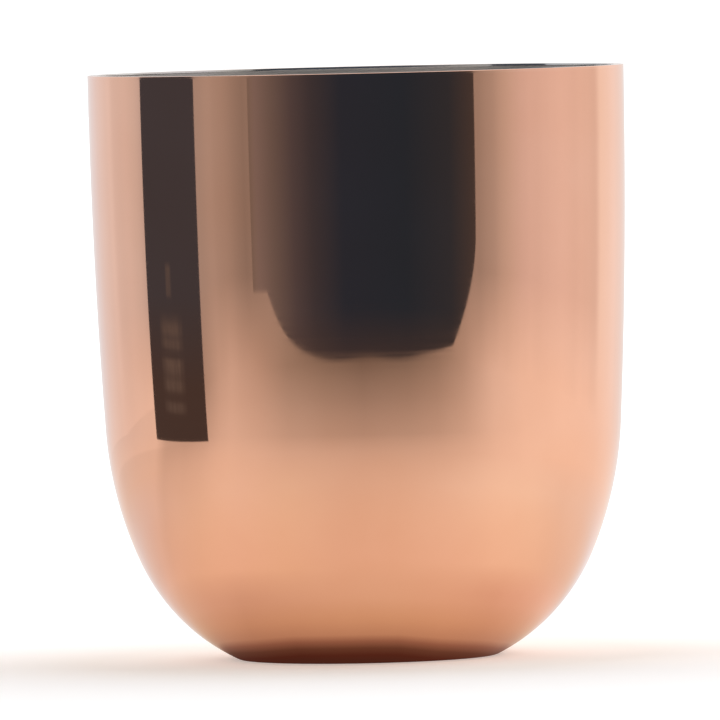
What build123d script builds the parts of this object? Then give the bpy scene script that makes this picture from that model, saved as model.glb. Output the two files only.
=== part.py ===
from build123d import *
import os
from math import acos, asin, atan2, copysign, cos, degrees, radians, sin, sqrt

# Bar jigger: one double-walled measuring cup, mirror-polished outside.
#
# A thin copper-coloured shell and a plain steel measuring cup stand one inside the other with an air
# gap between them. The cup laps the shell just below the lip, where a weld joins the two edges. The
# shell turns in at the foot and ends in a short collar, which a pressed base plate closes.
#
# Millimetres. The origin is the centre of the foot's underside, and +Z is the cup's own axis, up
# through its mouth. Every piece is a section in the X-Z plane, turned once round +Z.

# Driving dimensions
RIM_DIAMETER = 48.0        # outside, at the lip
HEIGHT = 52.6              # foot to lip
SHEET = 0.4                # thickness of every pressed sheet
AIR_GAP = 2.3              # between the shell and the measuring cup

# Outside shape of the shell, from the foot up: each stretch is an arc, tangent to its neighbours
FOOT_BEND = 1.2            # outer radius where the flat foot turns into the bowl
FOOT_SLOPE = 26.0          # slope of the bowl where it leaves the foot, in degrees
BOWL_RADIUS = 17.8
BOWL_TURN = 40.0
SHOULDER_RADIUS = 34.0
SHOULDER_TURN = 20.7       # the wall above it is nearly straight, and upright at the lip

# Collar that the shell turns in to, round the opening in its foot
COLLAR_RADIUS = 9.4        # its bore, where the base plate fits
COLLAR_BEND = 0.7
COLLAR_TOP = 2.4

# Measuring cup
CUP_UNDERSIDE = 4.5        # height of its flat bottom's outer face
CUP_BOTTOM_BEND = 3.0      # outer radius from the flat bottom to the bowl
STEP_RADIUS = 4.0          # both bends of the step that takes the cup's wall out to the shell
LAP = 2.5                  # height over which the cup's wall lies against the shell

# Base plate
PLATE_DOME = 120.0         # radius of its shallow dome
PLATE_UNDERSIDE = 2.15     # height of its lower face, at the centre
PLATE_BEND = 0.5           # inner radius from the plate to its flange
FLANGE_FOOT = 1.1          # height of the flange's lower edge

# Welds
LIP_WELD = 0.25            # height of the weld over the two sheets' edges, once it is ground flat
LIP_CORNER = 0.06          # radius its two corners are eased to
BASE_BEAD = SHEET          # radius of the quarter-round bead under the flange


def arc_step(radius, heading, turn):
    """How far out and up an arc goes, from its slope at the start and the turn it makes."""
    start, end = radians(heading), radians(heading + turn)
    return radius * (sin(end) - sin(start)), radius * (cos(start) - cos(end))


def arc_centre(point, heading, radius):
    """Centre of a left-turning arc that leaves the point at this slope."""
    return point[0] - radius * sin(radians(heading)), point[1] + radius * cos(radians(heading))


# Outline of the shell's outer face: where each arc starts, and at what slope
RIM_RADIUS = RIM_DIAMETER / 2
EDGE_HEIGHT = HEIGHT - LIP_WELD            # where both sheets end, under the lip's weld
SHOULDER_SLOPE = FOOT_SLOPE + BOWL_TURN
WALL_SLOPE = SHOULDER_SLOPE + SHOULDER_TURN
WALL_TURN = 90.0 - WALL_SLOPE

foot_out, foot_up = arc_step(FOOT_BEND, 0, FOOT_SLOPE)
bowl_out, bowl_up = arc_step(BOWL_RADIUS, FOOT_SLOPE, BOWL_TURN)
shoulder_out, shoulder_up = arc_step(SHOULDER_RADIUS, SHOULDER_SLOPE, SHOULDER_TURN)
wall_up = EDGE_HEIGHT - foot_up - bowl_up - shoulder_up
WALL_RADIUS = wall_up / cos(radians(WALL_SLOPE))
wall_out, _ = arc_step(WALL_RADIUS, WALL_SLOPE, WALL_TURN)

FOOT_RADIUS = RIM_RADIUS - foot_out - bowl_out - shoulder_out - wall_out   # outer edge of the flat
bowl_start = (FOOT_RADIUS + foot_out, foot_up)
bowl_centre = arc_centre(bowl_start, FOOT_SLOPE, BOWL_RADIUS)


def sheet_face(start, heading, steps, inset):
    """Edges that follow the steps from start, moved inset to the left of them.

    A step is a length and 0 for a straight, or a radius and the angle it turns, left positive.
    """
    direction = Vector(1, 0).rotate(Axis.Z, heading)
    point = Vector(*start) + direction.rotate(Axis.Z, 90) * inset
    edges = []
    for size, turn in steps:
        if turn == 0:
            edge = Edge.make_line(point, point + direction * size)
        else:
            edge = JernArc(point, direction, size - copysign(inset, turn), turn).edge()
        edges.append(edge)
        point, direction = edge @ 1, edge % 1
    return edges


def pressed_sheet(start, heading, steps):
    """A sheet turned round +Z, with its right-hand face along the steps."""
    near = sheet_face(start, heading, steps, 0)
    far = sheet_face(start, heading, steps, SHEET)
    ends = [Edge.make_line(near[0] @ 0, far[0] @ 0), Edge.make_line(near[-1] @ 1, far[-1] @ 1)]
    section = Plane.XZ * make_face(near + far + ends)
    return revolve(section, Axis.Z)


def outer_shell():
    """Copper-coloured skin: collar, flat foot, bowl, shoulder and the long wall to the lip."""
    steps = [
        (COLLAR_TOP - COLLAR_BEND, 0),
        (COLLAR_BEND, 90),
        (FOOT_RADIUS - COLLAR_RADIUS - COLLAR_BEND, 0),
        (FOOT_BEND, FOOT_SLOPE),
        (BOWL_RADIUS, BOWL_TURN),
        (SHOULDER_RADIUS, SHOULDER_TURN),
        (WALL_RADIUS, WALL_TURN),
    ]
    return pressed_sheet((COLLAR_RADIUS, COLLAR_TOP), -90, steps)


def cup_steps():
    """Outer face of the measuring cup, from the axis: the shell's arcs, one gap further in."""
    inset = SHEET + AIR_GAP
    bowl_radius = BOWL_RADIUS - inset
    wall_radius = WALL_RADIUS - inset
    lap_radius = WALL_RADIUS - SHEET

    # The bottom bend rolls inside the bowl's arc and on the flat bottom
    bend_up = bowl_centre[1] - CUP_UNDERSIDE - CUP_BOTTOM_BEND
    bend_out = sqrt((bowl_radius - CUP_BOTTOM_BEND) ** 2 - bend_up ** 2)
    bend_slope = degrees(atan2(bend_out, bend_up))

    # Two opposite bends step from the wall's arc out to the lap's, which has the same centre
    near, far = wall_radius + STEP_RADIUS, lap_radius - STEP_RADIUS
    step_out = degrees(acos((near ** 2 + (2 * STEP_RADIUS) ** 2 - far ** 2)
                            / (4 * near * STEP_RADIUS)))
    step_climb = degrees(acos((near ** 2 + far ** 2 - (2 * STEP_RADIUS) ** 2)
                              / (2 * near * far)))
    lap_turn = degrees(LAP / lap_radius)
    wall_turn = WALL_TURN - step_climb - lap_turn

    return [
        (bowl_centre[0] + bend_out, 0),
        (CUP_BOTTOM_BEND, bend_slope),
        (bowl_radius, SHOULDER_SLOPE - bend_slope),
        (SHOULDER_RADIUS - inset, SHOULDER_TURN),
        (wall_radius, wall_turn),
        (STEP_RADIUS, -step_out),
        (STEP_RADIUS, step_out + step_climb),
        (lap_radius, lap_turn),
    ]


def measuring_cup():
    """Steel cup that holds the measure, with its top edge stepped out against the shell."""
    return pressed_sheet((0, CUP_UNDERSIDE), 0, cup_steps())


def capacity():
    """What the cup holds when it is full to the brim, in millilitres."""
    inside = sheet_face((0, CUP_UNDERSIDE), 0, cup_steps(), SHEET)
    floor, brim = inside[0] @ 0, inside[-1] @ 1
    lip = Vector(brim.X, HEIGHT)
    top = Vector(0, HEIGHT)
    lid = [Edge.make_line(brim, lip), Edge.make_line(lip, top), Edge.make_line(top, floor)]
    section = Plane.XZ * make_face(inside + lid)
    return revolve(section, Axis.Z).volume / 1000


def base_plate():
    """Shallow domed disc that closes the foot, with a flange turned down inside the collar."""
    flange_inside = COLLAR_RADIUS - SHEET
    dome_turn = degrees(asin((flange_inside - PLATE_BEND) / (PLATE_DOME - PLATE_BEND)))
    flange_top = PLATE_UNDERSIDE - PLATE_DOME + (PLATE_DOME - PLATE_BEND) * cos(radians(dome_turn))
    steps = [
        (PLATE_DOME, -dome_turn),
        (PLATE_BEND, dome_turn - 90),
        (flange_top - FLANGE_FOOT, 0),
    ]
    return pressed_sheet((0, PLATE_UNDERSIDE), 0, steps)


def lip_weld():
    """Weld over the top edges of the shell and the cup, ground flat so that they make one lip."""
    middle = Location((RIM_RADIUS - SHEET, EDGE_HEIGHT))
    blank = middle * Rectangle(2 * SHEET, LIP_WELD, align=(Align.CENTER, Align.MIN))
    eased = fillet(blank.vertices().group_by(Axis.Y)[-1], LIP_CORNER)
    return revolve(Plane.XZ * eased, Axis.Z)


def base_weld():
    """Quarter-round bead in the corner between the collar's bore and the flange's lower edge."""
    corner = (COLLAR_RADIUS, FLANGE_FOOT)
    bead = CenterArc(corner, BASE_BEAD, 180, 90)
    section = Plane.XZ * make_face([bead, Line(bead @ 1, corner), Line(corner, bead @ 0)])
    return revolve(section, Axis.Z)


PIECES = {
    "outer_shell": outer_shell,
    "measuring_cup": measuring_cup,
    "base_plate": base_plate,
    "lip_weld": lip_weld,
    "base_weld": base_weld,
}

os.makedirs("parts", exist_ok=True)
for name, make in PIECES.items():
    piece = make()
    piece.label = name
    export_step(piece, f"parts/{name}.step")
print(f"holds {capacity():.2f} ml to the brim")
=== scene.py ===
from math import asin, acos, atan2, ceil, copysign, cos, degrees, pi, radians, sin, sqrt

import bpy
from mathutils import Matrix, Vector

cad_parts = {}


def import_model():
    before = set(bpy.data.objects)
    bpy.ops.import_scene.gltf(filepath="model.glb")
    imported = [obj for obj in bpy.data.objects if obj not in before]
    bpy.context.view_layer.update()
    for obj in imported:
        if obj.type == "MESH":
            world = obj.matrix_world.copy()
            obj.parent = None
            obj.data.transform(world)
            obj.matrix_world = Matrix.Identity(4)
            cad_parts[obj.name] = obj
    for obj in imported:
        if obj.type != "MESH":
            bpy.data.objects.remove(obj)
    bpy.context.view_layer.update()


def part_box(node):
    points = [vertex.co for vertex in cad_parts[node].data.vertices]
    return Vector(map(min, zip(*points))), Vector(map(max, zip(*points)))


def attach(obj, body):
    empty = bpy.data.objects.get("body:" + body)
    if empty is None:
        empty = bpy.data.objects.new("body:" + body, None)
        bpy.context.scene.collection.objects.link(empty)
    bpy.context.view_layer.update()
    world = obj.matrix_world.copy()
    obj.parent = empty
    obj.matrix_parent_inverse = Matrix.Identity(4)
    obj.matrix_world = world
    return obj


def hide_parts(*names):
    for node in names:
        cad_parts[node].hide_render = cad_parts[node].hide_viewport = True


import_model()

MM = 0.001


# ---------------------------------------------------------------- sizes, from the frame and the sheet

def radius_of(node):
    """Outer radius of a CAD node."""
    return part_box(node)[1].x


def bottom_of(node):
    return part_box(node)[0].z


def top_of(node):
    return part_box(node)[1].z


RIM_RADIUS = radius_of("outer_shell")
COLLAR_RADIUS = radius_of("base_plate")
EDGE_HEIGHT = top_of("outer_shell")          # where both sheets end, under the lip's weld
HEIGHT = top_of("lip_weld")
CUP_UNDERSIDE = bottom_of("measuring_cup")
FLANGE_FOOT = bottom_of("base_plate")
SHEET = RIM_RADIUS - radius_of("measuring_cup")

# Shape of the sheets, as they are pressed
FOOT_BEND = 1.2 * MM
FOOT_SLOPE = 26.0
BOWL_RADIUS = 17.8 * MM
BOWL_TURN = 40.0
SHOULDER_RADIUS = 34.0 * MM
SHOULDER_TURN = 20.7
COLLAR_BEND = 0.7 * MM
COLLAR_TOP = 2.4 * MM
AIR_GAP = 2.3 * MM
CUP_BOTTOM_BEND = 3.0 * MM
STEP_RADIUS = 4.0 * MM
LAP = 2.5 * MM
PLATE_DOME = 120.0 * MM
PLATE_UNDERSIDE = 2.15 * MM
PLATE_BEND = 0.5 * MM
LIP_CORNER = 0.06 * MM

ROUND = 320                # faces round the axis
FINEST_TURN = 1.5          # degrees between two points of a section
LEAST_ON_ARC = 10          # steps in any arc of a section
SHARP_EDGE = 35            # degrees between two faces that meet in an edge and not in a curve
SAME_SIZE = 0.02 * MM      # how closely a mesh has to agree with its CAD node
ON_AXIS = 1e-9             # a point this close to the axis is on it


def arc_step(radius, heading, turn):
    """How far out and up an arc goes, from its slope at the start and the turn it makes."""
    start, end = radians(heading), radians(heading + turn)
    return radius * (sin(end) - sin(start)), radius * (cos(start) - cos(end))


SHOULDER_SLOPE = FOOT_SLOPE + BOWL_TURN
WALL_SLOPE = SHOULDER_SLOPE + SHOULDER_TURN
WALL_TURN = 90.0 - WALL_SLOPE
foot_out, foot_up = arc_step(FOOT_BEND, 0, FOOT_SLOPE)
bowl_out, bowl_up = arc_step(BOWL_RADIUS, FOOT_SLOPE, BOWL_TURN)
shoulder_out, shoulder_up = arc_step(SHOULDER_RADIUS, SHOULDER_SLOPE, SHOULDER_TURN)
WALL_RADIUS = (EDGE_HEIGHT - foot_up - bowl_up - shoulder_up) / cos(radians(WALL_SLOPE))
wall_out, _ = arc_step(WALL_RADIUS, WALL_SLOPE, WALL_TURN)
FOOT_RADIUS = RIM_RADIUS - foot_out - bowl_out - shoulder_out - wall_out
BOWL_CENTRE = (
    FOOT_RADIUS + foot_out - BOWL_RADIUS * sin(radians(FOOT_SLOPE)),
    foot_up + BOWL_RADIUS * cos(radians(FOOT_SLOPE)),
)


# ---------------------------------------------------------------- lathe-turned meshes

def follow(start, heading, steps, inset):
    """Points along the steps from start, moved inset to the left of them.

    A step is a length and 0 for a straight, or a radius and the angle it turns, left positive.
    """
    angle = radians(heading)
    x = start[0] - inset * sin(angle)
    z = start[1] + inset * cos(angle)
    points = [(x, z)]
    for size, turn in steps:
        if turn == 0:
            x, z = x + size * cos(angle), z + size * sin(angle)
            points.append((x, z))
            continue
        radius = size - copysign(inset, turn)
        side = copysign(radius, turn)
        centre = (x - side * sin(angle), z + side * cos(angle))
        count = max(LEAST_ON_ARC, ceil(abs(turn) / FINEST_TURN))
        for k in range(1, count + 1):
            a = angle + radians(turn) * k / count
            points.append((centre[0] + side * sin(a), centre[1] - side * cos(a)))
        x, z = points[-1]
        angle += radians(turn)
    return points


def sheet_loop(start, heading, steps):
    """Closed section of a sheet whose right-hand face follows the steps."""
    near = follow(start, heading, steps, 0)
    far = follow(start, heading, steps, SHEET)
    return near + far[::-1]


def lathe(name, loop):
    """The closed section turned round +Z, as one closed mesh. A point on the axis is one vertex."""
    vertices, rings = [], []
    for r, z in loop:
        if r < ON_AXIS:
            rings.append([len(vertices)] * ROUND)
            vertices.append((0, 0, z))
            continue
        rings.append([len(vertices) + k for k in range(ROUND)])
        for k in range(ROUND):
            angle = 2 * pi * k / ROUND
            vertices.append((r * cos(angle), r * sin(angle), z))
    faces = []
    for i, ring in enumerate(rings):
        above = rings[(i + 1) % len(rings)]
        for k in range(ROUND):
            n = (k + 1) % ROUND
            corners = [ring[k], ring[n], above[n], above[k]]
            face = list(dict.fromkeys(corners))
            if len(face) > 2:
                faces.append(face)
    mesh = bpy.data.meshes.new(name)
    mesh.from_pydata(vertices, [], faces)
    mesh.validate()
    mesh.shade_smooth()
    mesh.set_sharp_from_angle(angle=radians(SHARP_EDGE))
    piece = bpy.data.objects.new(name, mesh)
    bpy.context.scene.collection.objects.link(piece)
    return piece


def stand_for(piece, node, material):
    """The piece replaces its CAD node, rides where it did and takes its slot and material."""
    low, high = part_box(node)
    points = [v.co for v in piece.data.vertices]
    for axis in range(3):
        ends = (min(p[axis] for p in points), max(p[axis] for p in points))
        if abs(ends[0] - low[axis]) > SAME_SIZE or abs(ends[1] - high[axis]) > SAME_SIZE:
            raise ValueError(f"{piece.name} is not the size of {node}: {ends} along axis {axis}")
    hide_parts(node)
    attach(piece, "root")
    piece.data.materials.append(material)


def shell_loop():
    """Section of the outer skin, from the top of its collar round the foot and up to the lip."""
    steps = [
        (COLLAR_TOP - COLLAR_BEND, 0),
        (COLLAR_BEND, 90),
        (FOOT_RADIUS - COLLAR_RADIUS - COLLAR_BEND, 0),
        (FOOT_BEND, FOOT_SLOPE),
        (BOWL_RADIUS, BOWL_TURN),
        (SHOULDER_RADIUS, SHOULDER_TURN),
        (WALL_RADIUS, WALL_TURN),
    ]
    return sheet_loop((COLLAR_RADIUS, COLLAR_TOP), -90, steps)


def cup_loop():
    """Section of the steel cup: the shell's arcs, one gap further in, and the step out to the lip."""
    inset = SHEET + AIR_GAP
    bowl_radius = BOWL_RADIUS - inset
    wall_radius = WALL_RADIUS - inset
    lap_radius = WALL_RADIUS - SHEET
    bend_up = BOWL_CENTRE[1] - CUP_UNDERSIDE - CUP_BOTTOM_BEND
    bend_out = sqrt((bowl_radius - CUP_BOTTOM_BEND) ** 2 - bend_up ** 2)
    bend_slope = degrees(atan2(bend_out, bend_up))

    # Two opposite bends step from the wall's arc out to the lap's, which has the same centre
    near, far, apart = wall_radius + STEP_RADIUS, lap_radius - STEP_RADIUS, 2 * STEP_RADIUS
    step_out = degrees(acos((near ** 2 + apart ** 2 - far ** 2) / (2 * near * apart)))
    step_climb = degrees(acos((near ** 2 + far ** 2 - apart ** 2) / (2 * near * far)))
    lap_turn = degrees(LAP / lap_radius)
    steps = [
        (BOWL_CENTRE[0] + bend_out, 0),
        (CUP_BOTTOM_BEND, bend_slope),
        (bowl_radius, SHOULDER_SLOPE - bend_slope),
        (SHOULDER_RADIUS - inset, SHOULDER_TURN),
        (wall_radius, WALL_TURN - step_climb - lap_turn),
        (STEP_RADIUS, -step_out),
        (STEP_RADIUS, step_out + step_climb),
        (lap_radius, lap_turn),
    ]
    return sheet_loop((0, CUP_UNDERSIDE), 0, steps)


def plate_loop():
    """Section of the domed plate that closes the foot, with its flange."""
    flange_inside = COLLAR_RADIUS - SHEET
    dome_turn = degrees(asin((flange_inside - PLATE_BEND) / (PLATE_DOME - PLATE_BEND)))
    flange_top = PLATE_UNDERSIDE - PLATE_DOME + (PLATE_DOME - PLATE_BEND) * cos(radians(dome_turn))
    steps = [(PLATE_DOME, -dome_turn), (PLATE_BEND, dome_turn - 90), (flange_top - FLANGE_FOOT, 0)]
    return sheet_loop((0, PLATE_UNDERSIDE), 0, steps)


BEAD_ROUND = 12            # steps in a quarter of a weld's round


def quarter_round(centre, radius, first):
    """Points of a quarter of a circle, from the first angle on, in degrees."""
    angles = [radians(first + 90 * k / BEAD_ROUND) for k in range(BEAD_ROUND + 1)]
    return [(centre[0] + radius * cos(a), centre[1] + radius * sin(a)) for a in angles]


def lip_loop():
    """Section of the lip's weld: a low ring, flat on top, with both corners eased."""
    inner, outer = RIM_RADIUS - 2 * SHEET, RIM_RADIUS
    low = HEIGHT - LIP_CORNER
    return [
        (inner, EDGE_HEIGHT),
        (outer, EDGE_HEIGHT),
        *quarter_round((outer - LIP_CORNER, low), LIP_CORNER, 0),
        *quarter_round((inner + LIP_CORNER, low), LIP_CORNER, 90),
    ]


def base_bead_loop():
    """Section of the bead in the corner under the base plate's flange."""
    corner = (COLLAR_RADIUS, FLANGE_FOOT)
    return [corner, *quarter_round(corner, SHEET, 180)]


# ---------------------------------------------------------------- materials

def new_material(name):
    material = bpy.data.materials.new(name)
    material.use_nodes = True
    tree = material.node_tree
    tree.nodes.clear()
    output = tree.nodes.new("ShaderNodeOutputMaterial")
    return material, tree, output


def node(tree, kind, inputs=None, **settings):
    """A new node with these settings, and with these values on the inputs that nothing feeds."""
    made = tree.nodes.new(kind)
    for key, value in settings.items():
        setattr(made, key, value)
    for key, value in (inputs or {}).items():
        made.inputs[key].default_value = value
    return made


def link(tree, source, target):
    tree.links.new(source, target)


def place_on(tree):
    """Position on the object itself, in metres."""
    return node(tree, "ShaderNodeTexCoord").outputs["Object"]


def distance_from_axis(tree):
    flat = node(tree, "ShaderNodeVectorMath", {1: (1, 1, 0)}, operation="MULTIPLY")
    link(tree, place_on(tree), flat.inputs[0])
    distance = node(tree, "ShaderNodeVectorMath", operation="LENGTH")
    link(tree, flat.outputs["Vector"], distance.inputs[0])
    return distance.outputs["Value"]


def stretched_noise(tree, scale, stretch=(1, 1, 1), detail=3.0, roughness=0.5):
    """Noise over the object, with so many grains per metre, and more along a stretched axis."""
    mapping = node(tree, "ShaderNodeMapping", {"Scale": stretch})
    link(tree, place_on(tree), mapping.inputs["Vector"])
    noise = node(tree, "ShaderNodeTexNoise", {"Scale": scale, "Detail": detail, "Roughness": roughness})
    link(tree, mapping.outputs["Vector"], noise.inputs["Vector"])
    return noise.outputs["Fac"]


def remap(tree, value, low, high, from_low=0.3, from_high=0.7):
    """The value's range turned into low to high. Noise mostly stays in the range given here."""
    ends = {"From Min": from_low, "From Max": from_high, "To Min": low, "To Max": high}
    mapped = node(tree, "ShaderNodeMapRange", ends)
    link(tree, value, mapped.inputs["Value"])
    return mapped.outputs["Result"]


def mix_colours(tree, factor, first, second, blend="MIX"):
    """Each of the factor and the two colours is either a value or another node's output."""
    mix = node(tree, "ShaderNodeMix", data_type="RGBA", blend_type=blend)
    for socket, colour in (("A", first), ("B", second)):
        target = next(s for s in mix.inputs if s.name == socket and s.type == "RGBA")
        if hasattr(colour, "is_output"):
            link(tree, colour, target)
        else:
            target.default_value = (*colour, 1)
    if hasattr(factor, "is_output"):
        link(tree, factor, mix.inputs["Factor"])
    else:
        mix.inputs["Factor"].default_value = factor
    return next(s for s in mix.outputs if s.type == "RGBA")


def multiply(tree, first, second):
    return mix_colours(tree, 1.0, first, second, blend="MULTIPLY")


def bump(tree, height, distance, below=None):
    made = node(tree, "ShaderNodeBump", {"Strength": 1.0, "Distance": distance})
    link(tree, height, made.inputs["Height"])
    if below is not None:
        link(tree, below, made.inputs["Normal"])
    return made.outputs["Normal"]


def metal(name, metallic=1.0):
    """A new material with one metal shader, its node tree and the shader's inputs."""
    material, tree, output = new_material(name)
    shader = node(tree, "ShaderNodeBsdfPrincipled", {"Metallic": metallic})
    link(tree, shader.outputs["BSDF"], output.inputs["Surface"])
    return material, tree, shader.inputs


COPPER = (0.93, 0.515, 0.355)
COPPER_DEEP = (0.90, 0.48, 0.32)
STEEL = (0.735, 0.69, 0.65)
STEEL_DULL = (0.65, 0.61, 0.57)
WAVES_DEEP = 4e-6          # metres, of the waves in the polish and of the steel's brushing
POLISH_DEEP = 2e-8         # metres, of the finest polishing lines


def copper():
    """Mirror-polished copper finish: nearly flawless, with faint buffing lines and smears."""
    material, tree, surface = metal("polished_copper")
    smears = stretched_noise(tree, scale=90, detail=4)
    link(tree, mix_colours(tree, remap(tree, smears, 0, 1), COPPER, COPPER_DEEP), surface["Base Color"])

    buffing = stretched_noise(tree, scale=60, stretch=(1, 1, 40), detail=5, roughness=0.6)
    link(tree, remap(tree, buffing, low=0.02, high=0.05), surface["Roughness"])

    waves = stretched_noise(tree, scale=70, stretch=(1, 1, 0.8), detail=1)
    lines = stretched_noise(tree, scale=50, stretch=(1, 1, 60), detail=2)
    link(tree, bump(tree, lines, POLISH_DEEP, bump(tree, waves, WAVES_DEEP)), surface["Normal"])
    return material


def steel():
    """Plain steel, brushed round the cup."""
    material, tree, surface = metal("brushed_steel", metallic=0.85)
    brushing = stretched_noise(tree, scale=40, stretch=(1, 1, 120), detail=6, roughness=0.7)
    link(tree, mix_colours(tree, remap(tree, brushing, 0, 1), STEEL, STEEL_DULL), surface["Base Color"])
    link(tree, remap(tree, brushing, low=0.26, high=0.38), surface["Roughness"])
    link(tree, bump(tree, brushing, WAVES_DEEP), surface["Normal"])
    return material


def lip_metal():
    """The ground lip: copper finish, worn to bare steel along its inner corner."""
    material, tree, surface = metal("ground_lip")
    seam = RIM_RADIUS - 1.85 * SHEET
    blend = 0.05 * MM
    coppered = remap(tree, distance_from_axis(tree), 0, 1, seam - blend, seam + blend)
    link(tree, mix_colours(tree, coppered, STEEL, COPPER), surface["Base Color"])

    grinding = stretched_noise(tree, scale=60, stretch=(1, 1, 40), detail=5, roughness=0.6)
    link(tree, remap(tree, grinding, low=0.06, high=0.12), surface["Roughness"])
    link(tree, bump(tree, grinding, POLISH_DEEP), surface["Normal"])
    return material


# ---------------------------------------------------------------- the jigger

COPPER_FINISH = copper()

stand_for(lathe("copper_shell", shell_loop()), "outer_shell", COPPER_FINISH)
stand_for(lathe("steel_cup", cup_loop()), "measuring_cup", steel())
stand_for(lathe("foot_plate", plate_loop()), "base_plate", COPPER_FINISH)
stand_for(lathe("lip_ring", lip_loop()), "lip_weld", lip_metal())
stand_for(lathe("foot_bead", base_bead_loop()), "base_weld", COPPER_FINISH)


# ---------------------------------------------------------------- the light tent

TENT_RADIUS = 243 * MM
TENT_HEIGHT = 340 * MM
CARD_GAP = 2 * MM          # between the front opening's card and the cloth behind it
FLOOR_SIZE = 6.0           # metres
WORLD_LIGHT = 1.2


def plain_mesh(name, vertices, faces, material):
    mesh = bpy.data.meshes.new(name)
    mesh.from_pydata(vertices, [], faces)
    mesh.materials.append(material)
    made = bpy.data.objects.new(name, mesh)
    bpy.context.scene.collection.objects.link(made)
    return made


def grid_card(name, columns, rows, place, material):
    """A card of columns by rows, where place(across, up) gives each corner from 0 to 1."""
    vertices = [place(i / columns, j / rows) for j in range(rows + 1) for i in range(columns + 1)]
    wide = columns + 1
    faces = [
        (j * wide + i, j * wide + i + 1, (j + 1) * wide + i + 1, (j + 1) * wide + i)
        for j in range(rows) for i in range(columns)
    ]
    return plain_mesh(name, vertices, faces, material)


def round_the_cup(azimuth, radius, height):
    """Azimuth 0 is towards the camera, and positive is to its right."""
    return radius * sin(radians(azimuth)), -radius * cos(radians(azimuth)), height


def azimuth_of(tree):
    """Azimuth round the cup as a share of a turn: 0.5 is towards the camera, more is to its right."""
    mapping = node(tree, "ShaderNodeMapping", {"Rotation": (0, 0, radians(90))}, vector_type="POINT")
    link(tree, place_on(tree), mapping.inputs["Vector"])
    radial = node(tree, "ShaderNodeTexGradient", gradient_type="RADIAL")
    link(tree, mapping.outputs["Vector"], radial.inputs["Vector"])
    return radial.outputs["Fac"]


def on_tent(azimuth):
    """Azimuth where a ray meets the tent, when it leaves the cup's side at this azimuth."""
    return azimuth - degrees(asin(RIM_RADIUS / TENT_RADIUS * sin(radians(azimuth) / 2)))


def tone_ramp(tree, value, stops):
    """Colour ramp over the value. Each stop is a position and a brightness or a colour."""
    ramp = node(tree, "ShaderNodeValToRGB")
    made = ramp.color_ramp.elements
    while len(made) < len(stops):
        made.new(0.5)
    for stop, (position, tone) in zip(made, stops):
        stop.position = position
        colour = tone if isinstance(tone, tuple) else (tone, tone, tone)
        stop.color = (*colour, 1)
    link(tree, value, ramp.inputs["Fac"])
    return ramp.outputs["Color"]


def tones_round(tree, tones):
    """Tones by azimuth, as the cup's side reflects them."""
    stops = [(on_tent(azimuth) / 360 + 0.5, tone) for azimuth, tone in tones]
    return tone_ramp(tree, azimuth_of(tree), stops)


def tones_on_floor(tree, tones):
    """Tones by azimuth on the floor itself."""
    return tone_ramp(tree, azimuth_of(tree), [(azimuth / 360 + 0.5, tone) for azimuth, tone in tones])


def tones_along(tree, value, tones):
    """Tones along a length that starts at 0. Their positions are in millimetres."""
    reach = tones[-1][0]
    stops = [(position / reach, tone) for position, tone in tones]
    return tone_ramp(tree, remap(tree, value, 0, 1, 0, reach * MM), stops)


def coordinate_of(tree, axis):
    split = node(tree, "ShaderNodeSeparateXYZ")
    link(tree, place_on(tree), split.inputs["Vector"])
    return split.outputs[axis]


def shine(tree, output, colour):
    """The material is a plain light of this colour."""
    light = node(tree, "ShaderNodeEmission")
    link(tree, colour, light.inputs["Color"])
    link(tree, light.outputs["Emission"], output.inputs["Surface"])


def show_to(card, camera=False, diffuse=False, glossy=True):
    """Which rays meet the card. One that only the cup's mirror sees leaves the floor's light alone."""
    card.visible_camera = camera
    card.visible_diffuse = diffuse
    card.visible_glossy = glossy
    card.visible_shadow = diffuse
    card.visible_transmission = False
    card.visible_volume_scatter = False


# Tones that the cup's side reflects, by azimuth. The left side is lit a little cooler
WALL_TONES = [
    (-180, 0.88), (-158, (0.83, 0.90, 0.98)), (-134, (0.82, 0.88, 0.95)), (-130, (0.74, 0.79, 0.85)),
    (-118, (0.73, 0.78, 0.84)), (-111, (0.67, 0.73, 0.79)), (-107, (0.58, 0.63, 0.70)),
    (-73, (0.41, 0.43, 0.45)), (-67, (0.455, 0.465, 0.475)), (-60, 0.405), (-50, 0.28), (-40, 0.36),
    (45, 0.36), (53, 0.36), (60, 0.45), (67, 0.60), (76, (0.72, 0.71, 0.75)),
    (87, (0.79, 0.78, 0.82)), (100, (0.84, 0.83, 0.87)), (125, (0.81, 0.80, 0.81)),
    (129.5, (0.96, 1.0, 1.02)), (145, (0.97, 1.0, 1.03)), (165, 0.90), (180, 0.88),
]
# and the floor's light and shade where the cloth's foot meets it, with painted shade that darkens it
# towards the two openings
FOOT_LIGHT_AND_SHADE = [
    (-180, 0.90), (-128, (0.86, 0.88, 0.91)), (-105, (0.89, 0.90, 0.91)), (-98, 0.50), (-85, 0.38),
    (-74, 0.45), (-66, 0.62), (-60, 0.67), (-46, (0.52, 0.50, 0.48)), (-33, (0.35, 0.34, 0.32)),
    (-16, (0.25, 0.24, 0.22)), (0, (0.19, 0.18, 0.165)), (20, (0.24, 0.235, 0.22)),
    (33, (0.33, 0.32, 0.30)), (45, (0.49, 0.48, 0.46)), (60, 0.79), (75, 0.93), (100, 1.0),
    (140, 1.0), (180, 0.90),
]
WALL_FOOT = 16 * MM            # height of the cloth's lowest band, painted with the floor's light and shade in place of a curve into the floor

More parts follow.
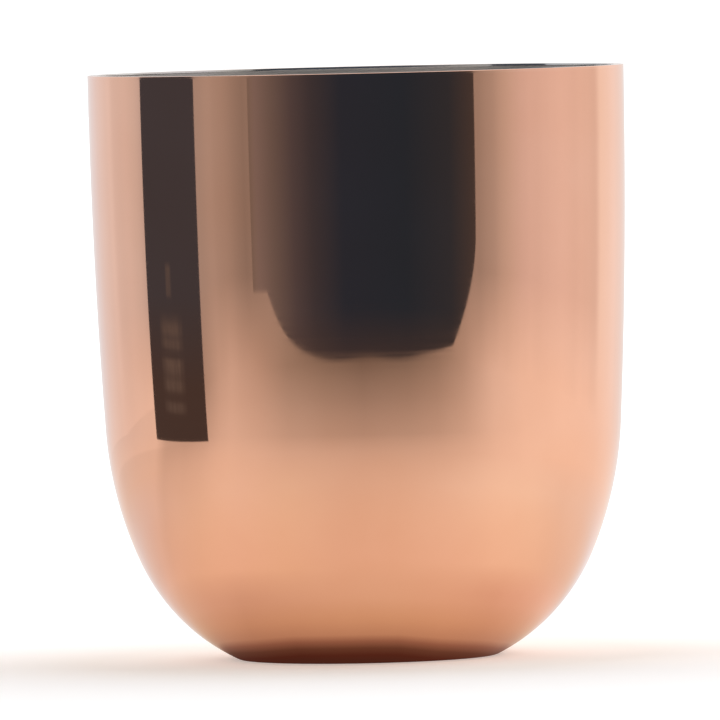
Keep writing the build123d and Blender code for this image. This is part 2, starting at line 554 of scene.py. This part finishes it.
OPENING_LEFT, OPENING_RIGHT = -47.5, 51.6
OPENING_TONES = [
    (-47.5, (0.20, 0.20, 0.20)), (-45.9, (0.19, 0.19, 0.20)), (-45.6, (0.27, 0.27, 0.28)),
    (-45.0, (0.22, 0.22, 0.24)), (-37, (0.15, 0.155, 0.17)), (-28, (0.084, 0.09, 0.115)),
    (-20, (0.050, 0.060, 0.085)), (-7, (0.024, 0.040, 0.072)), (20, (0.021, 0.038, 0.066)),
    (40, (0.032, 0.046, 0.068)), (53, (0.070, 0.070, 0.075)),
]


def tent_wall():
    """The cloth, with painted light and shade of faint upright folds, and a lowest band painted with
    the floor's light and shade in place of a curve into the floor.
    """
    material, tree, output = new_material("tent_cloth")
    foot = remap(tree, coordinate_of(tree, "Z"), 1, 0, 0, WALL_FOOT)
    tone = mix_colours(tree, foot, tones_round(tree, WALL_TONES), tones_round(tree, FOOT_LIGHT_AND_SHADE))
    # Painted light and shade of folds: the cloth's glow varies by about 2 % in upright streaks
    folds = stretched_noise(tree, scale=30, stretch=(1, 1, 0.05), detail=2)
    shine(tree, output, multiply(tree, tone, remap(tree, folds, low=0.98, high=1.02)))

    def place(across, up):
        return round_the_cup(360 * across - 180, TENT_RADIUS + CARD_GAP, TENT_HEIGHT * up)
    show_to(grid_card("tent_wall", 180, 4, place, material))


# Lower edge of the front opening. From its lowest point, each side reaches so many degrees out, rises
# so far and is so round, and small ripples run along it
LOWEST = 2.0
LEFT_EDGE = (43.0, 13 * MM, 4.6)
RIGHT_EDGE = (44.0, 4.5 * MM, 3)
RIPPLE = 0.2 * MM
RIPPLES = 13               # in a whole turn
RIPPLE_START = 3           # degrees


def opening_edge(azimuth):
    reach, rise, roundness = LEFT_EDGE if azimuth < LOWEST else RIGHT_EDGE
    ripple = RIPPLE * (1 + cos(radians(azimuth - RIPPLE_START) * RIPPLES))
    return min(rise * (abs(azimuth - LOWEST) / reach) ** roundness, rise) + ripple


def front_opening():
    """Dark opening that the camera looks in through, with a roof over its front half."""
    right_lean, lean_height, lean_curve = 14.5, 22 * MM, 1.8
    wall_share = 0.8
    roof_reach = 110 * MM
    # Painted light: towards its foot, over the lowest 9 mm, the opening is lifted to a lighter, warmer
    # tone
    painted_low_light, painted_low_light_height = (0.075, 0.065, 0.060), 9 * MM

    def place(across, up):
        height = TENT_HEIGHT * min(1, up / wall_share) ** 2
        roof = max(0, (up - wall_share) / (1 - wall_share))
        right = OPENING_RIGHT - right_lean * max(0, 1 - height / lean_height) ** lean_curve
        azimuth = OPENING_LEFT + (right - OPENING_LEFT) * across
        radius = TENT_RADIUS - roof_reach * roof
        return round_the_cup(on_tent(azimuth), radius, max(height, opening_edge(azimuth)))
    material, tree, output = new_material("dark_room")
    # Painted light at the opening's foot: half strength at the floor, gone 9 mm up
    low_down = remap(tree, coordinate_of(tree, "Z"), 0.5, 0, 0, painted_low_light_height)
    shine(tree, output, mix_colours(tree, low_down, tones_round(tree, OPENING_TONES), painted_low_light))
    show_to(grid_card("front_opening", 120, 90, place, material), diffuse=True)


# Dim things that stand in the side gap: their rows by height in millimetres, and their width as a
# share of the gap's
SHELF_ROWS = [
    (6.2, 0.0), (6.9, 0.7), (7.8, 0.7), (8.6, 0.0), (9.4, 0.1), (10.0, 0.8), (10.8, 0.8), (11.5, 0.35),
    (12.4, 0.75), (13.6, 1.0), (14.2, 0.05), (15.0, 0.05), (15.5, 0.7), (16.2, 0.7), (16.8, 0.35),
    (17.4, 0.8), (18.2, 0.8), (19.2, 0.25), (20.2, 0.0), (30.0, 0.0),
]
SHELF_WIDTH = [(0.27, 0.0), (0.38, 1.0), (0.62, 1.0), (0.73, 0.0)]
STREAK_ROWS = [(21.9, 0.0), (22.4, 0.6), (26.0, 0.6), (26.6, 0.0), (30.0, 0.0)]
STREAK_WIDTH = [(0.44, 0.0), (0.47, 1.0), (0.53, 1.0), (0.56, 0.0)]

GAP_NEAR = Vector((-140.0, -54.6)) * MM
GAP_FAR = Vector((-179.3, 33.4)) * MM


def dim_things(tree):
    """How much of a dim thing shows at each place in the side gap."""
    across = remap(tree, coordinate_of(tree, "X"), 0, 1, GAP_FAR.x, GAP_NEAR.x)
    height = coordinate_of(tree, "Z")
    shapes = [
        multiply(tree, tones_along(tree, height, rows), tone_ramp(tree, across, width))
        for rows, width in ((SHELF_ROWS, SHELF_WIDTH), (STREAK_ROWS, STREAK_WIDTH))
    ]
    patches = remap(tree, stretched_noise(tree, scale=260), low=0.55, high=1.0)
    return multiply(tree, mix_colours(tree, 1.0, *shapes, blend="ADD"), patches)


def side_gap():
    """Dark gap in the tent's left side, with a few dim things in its lower part."""
    edge_wave, wave_length = 0.4 * MM, 9 * MM
    dark_high, dark_low, dim = (0.056, 0.070, 0.098), (0.066, 0.062, 0.066), (0.135, 0.140, 0.145)

    def place(across, up):
        x, y = GAP_FAR.lerp(GAP_NEAR, across)
        height = TENT_HEIGHT * up ** 2
        return x, y + edge_wave * sin(height / wave_length), height
    material, tree, output = new_material("dark_gap")
    low_down = remap(tree, coordinate_of(tree, "Z"), 1, 0, 10 * MM, 22 * MM)
    dark = mix_colours(tree, low_down, dark_high, dark_low)
    shine(tree, output, mix_colours(tree, dim_things(tree), dark, dim))
    show_to(grid_card("side_gap", 12, 80, place, material), diffuse=True)


def floor_sheet(name, material):
    half = FLOOR_SIZE / 2
    corners = [(-half, -half, 0), (half, -half, 0), (half, half, 0), (-half, half, 0)]
    return plain_mesh(name, corners, [(0, 1, 2, 3)], material)


# Light added to the floor that the camera sees, by distance from the axis in millimetres: the copper
# warms it close to the foot
FLOOR_GLOW = [
    (0, (0.50, 0.45, 0.41)), (15, (0.50, 0.45, 0.41)), (25, (0.39, 0.34, 0.29)),
    (43, (0.44, 0.41, 0.395)), (80, 0.52), (120, 0.55),
]


def floor():
    """Pale floor as the camera sees it: lit up to white, apart from the cup's soft shadow."""
    material, tree, output = new_material("pale_floor")
    plain = {"Emission Strength": 0.86, "Specular IOR Level": 0.0, "Roughness": 0.6}
    shader = node(tree, "ShaderNodeBsdfPrincipled", plain)
    cloud = remap(tree, stretched_noise(tree, scale=20), 0, 1)
    tone = mix_colours(tree, cloud, (0.86, 0.855, 0.85), (0.85, 0.845, 0.84))
    link(tree, tone, shader.inputs["Base Color"])
    glow = tones_along(tree, distance_from_axis(tree), FLOOR_GLOW)
    link(tree, glow, shader.inputs["Emission Color"])
    link(tree, shader.outputs["BSDF"], output.inputs["Surface"])
    show_to(floor_sheet("floor", material), camera=True, diffuse=True, glossy=False)


# The floor's painted light and shadow as the cup's mirror sees it, by distance from the axis in
# millimetres: a painted shadow under the foot, then painted warm light that the copper throws down, and
# plain further out
MIRRORED_LIGHT_AND_SHADOW = [
    (0, (0.05, 0.035, 0.030)), (12, (0.075, 0.032, 0.024)), (12.5, (0.09, 0.03, 0.02)),
    (13.5, (0.15, 0.08, 0.055)), (14.2, (0.27, 0.15, 0.11)), (15.3, (0.57, 0.42, 0.30)),
    (17.5, (0.72, 0.57, 0.41)), (21, (0.83, 0.70, 0.56)), (30, (0.92, 0.80, 0.70)),
    (42, (0.95, 0.86, 0.77)), (60, (0.97, 0.92, 0.86)), (100, (1.0, 0.98, 0.95)), (230, 1.0),
]

# How much further in the light reaches under the foot, by azimuth, as a share of UNDER_FOOT
UNDER_FOOT = 2 * MM
LIGHT_UNDER_FOOT = [
    (-180, 0.6), (-90, 0.40), (-70, 0.35), (-50, 0.25), (-30, 0.02), (0, 0.0), (12, 0.05), (30, 0.40),
    (50, 0.65), (70, 0.90), (90, 0.95), (180, 0.6),
]

# Light and shade round the cup: close to the foot, and then out to where the tent's light evens out
NEAR_SHADE = [
    (-180, (1.0, 1.05, 1.15)), (-110, (0.93, 1.0, 1.15)), (-90, (0.95, 0.97, 1.05)),
    (-70, (0.92, 0.90, 0.97)), (-50, (0.86, 0.83, 0.88)), (-30, (0.93, 0.91, 0.95)),
    (-10, (0.98, 0.97, 1.0)), (10, (1.02, 1.03, 1.07)), (30, (1.02, 1.0, 1.04)),
    (50, (0.98, 0.94, 1.0)), (70, (1.02, 1.0, 1.1)), (90, (1.07, 1.1, 1.25)), (120, (1.06, 1.12, 1.3)),
    (180, (1.0, 1.05, 1.15)),
]
WIDE_SHADE = [
    (-180, (1.0, 1.05, 1.15)), (-130, (1.0, 1.10, 1.24)), (-110, (0.98, 1.05, 1.18)),
    (-90, (1.02, 1.05, 1.10)), (-70, (1.01, 1.04, 1.05)), (-50, (1.03, 1.06, 1.09)),
    (-30, (1.03, 1.05, 1.03)), (-10, (1.0, 1.0, 1.0)), (10, (1.02, 1.02, 1.02)),
    (30, (1.07, 1.10, 1.13)), (50, (1.09, 1.15, 1.18)), (70, (1.04, 1.11, 1.14)),
    (90, (0.97, 1.04, 1.10)), (110, (0.96, 1.03, 1.10)), (130, (0.94, 1.05, 1.18)),
    (150, (0.97, 1.07, 1.22)), (180, (1.0, 1.05, 1.15)),
]

# On the left, inside the gap's lower end, the floor lies a little darker, by distance and by azimuth
LEFT_SHADE = [
    (0, 1.0), (17, 1.0), (35, 0.89), (60, 0.87), (120, 0.85), (143, 0.86), (152, 0.92), (230, 0.92),
]
LEFT_SIDE = [(-180, 0.0), (-156, 0.5), (-140, 1.0), (-103, 1.0), (-88, 0.3), (-72, 0.0), (180, 0.0)]


def mirrored_floor():
    """The floor that only the cup's mirror sees, which isn't lit up to white: its light and shade are
    all painted into its glow.
    """
    material, tree, output = new_material("mirrored_floor")
    distance = distance_from_axis(tree)
    further_in = node(tree, "ShaderNodeMath", {1: UNDER_FOOT}, operation="MULTIPLY_ADD")
    link(tree, tones_on_floor(tree, LIGHT_UNDER_FOOT), further_in.inputs[0])
    link(tree, distance, further_in.inputs[2])
    # Painted shadow under the foot, and painted warm light round it
    near = tones_along(tree, further_in.outputs["Value"], MIRRORED_LIGHT_AND_SHADOW)
    # Painted shade: out towards the tent, the floor darkens towards the two openings
    out_to_tent = remap(tree, distance, 0, 1, 0, TENT_RADIUS)
    lit = mix_colours(tree, out_to_tent, near, tones_round(tree, FOOT_LIGHT_AND_SHADE), blend="MULTIPLY")

    left, left_shade = tones_round(tree, LEFT_SIDE), tones_along(tree, distance, LEFT_SHADE)
    lit = mix_colours(tree, left, lit, left_shade, blend="MULTIPLY")

    widening = remap(tree, distance, 0, 1, 21 * MM, 28 * MM)
    near_shade, wide_shade = tones_on_floor(tree, NEAR_SHADE), tones_on_floor(tree, WIDE_SHADE)
    shade = mix_colours(tree, widening, near_shade, wide_shade)
    shaded = remap(tree, distance, 1, 0, 55 * MM, 95 * MM)
    shine(tree, output, mix_colours(tree, shaded, lit, shade, blend="MULTIPLY"))
    show_to(floor_sheet("mirrored_floor", material))


def world():
    made = bpy.data.worlds.new("tent_light")
    made.use_nodes = True
    background = made.node_tree.nodes["Background"]
    background.inputs["Color"].default_value = (1, 1, 1, 1)
    background.inputs["Strength"].default_value = WORLD_LIGHT
    bpy.context.scene.world = made


floor()
mirrored_floor()
tent_wall()
front_opening()
side_gap()
world()


# ---------------------------------------------------------------- camera

CAMERA_DISTANCE = 54 * RIM_RADIUS
CAMERA_HEIGHT = 70 * MM
AIM = Vector((-0.18, 0, 26.6)) * MM
SENSOR, LENS = 36, 724     # millimetres
ROLL = 1.3                 # degrees; the cup leans a little to the left in the picture
FARTHEST_SEEN = 100        # metres


def camera():
    data = bpy.data.cameras.new("camera")
    data.sensor_width = SENSOR
    data.lens = LENS
    data.clip_end = FARTHEST_SEEN
    made = bpy.data.objects.new("camera", data)
    bpy.context.scene.collection.objects.link(made)
    made.location = (0, -CAMERA_DISTANCE, CAMERA_HEIGHT)
    turn = (AIM - made.location).to_track_quat("-Z", "Y").to_matrix().to_4x4()
    made.rotation_euler = (turn @ Matrix.Rotation(radians(-ROLL), 4, "Z")).to_euler()
    bpy.context.scene.camera = made


camera()
bpy.context.scene.view_settings.view_transform = "Standard"
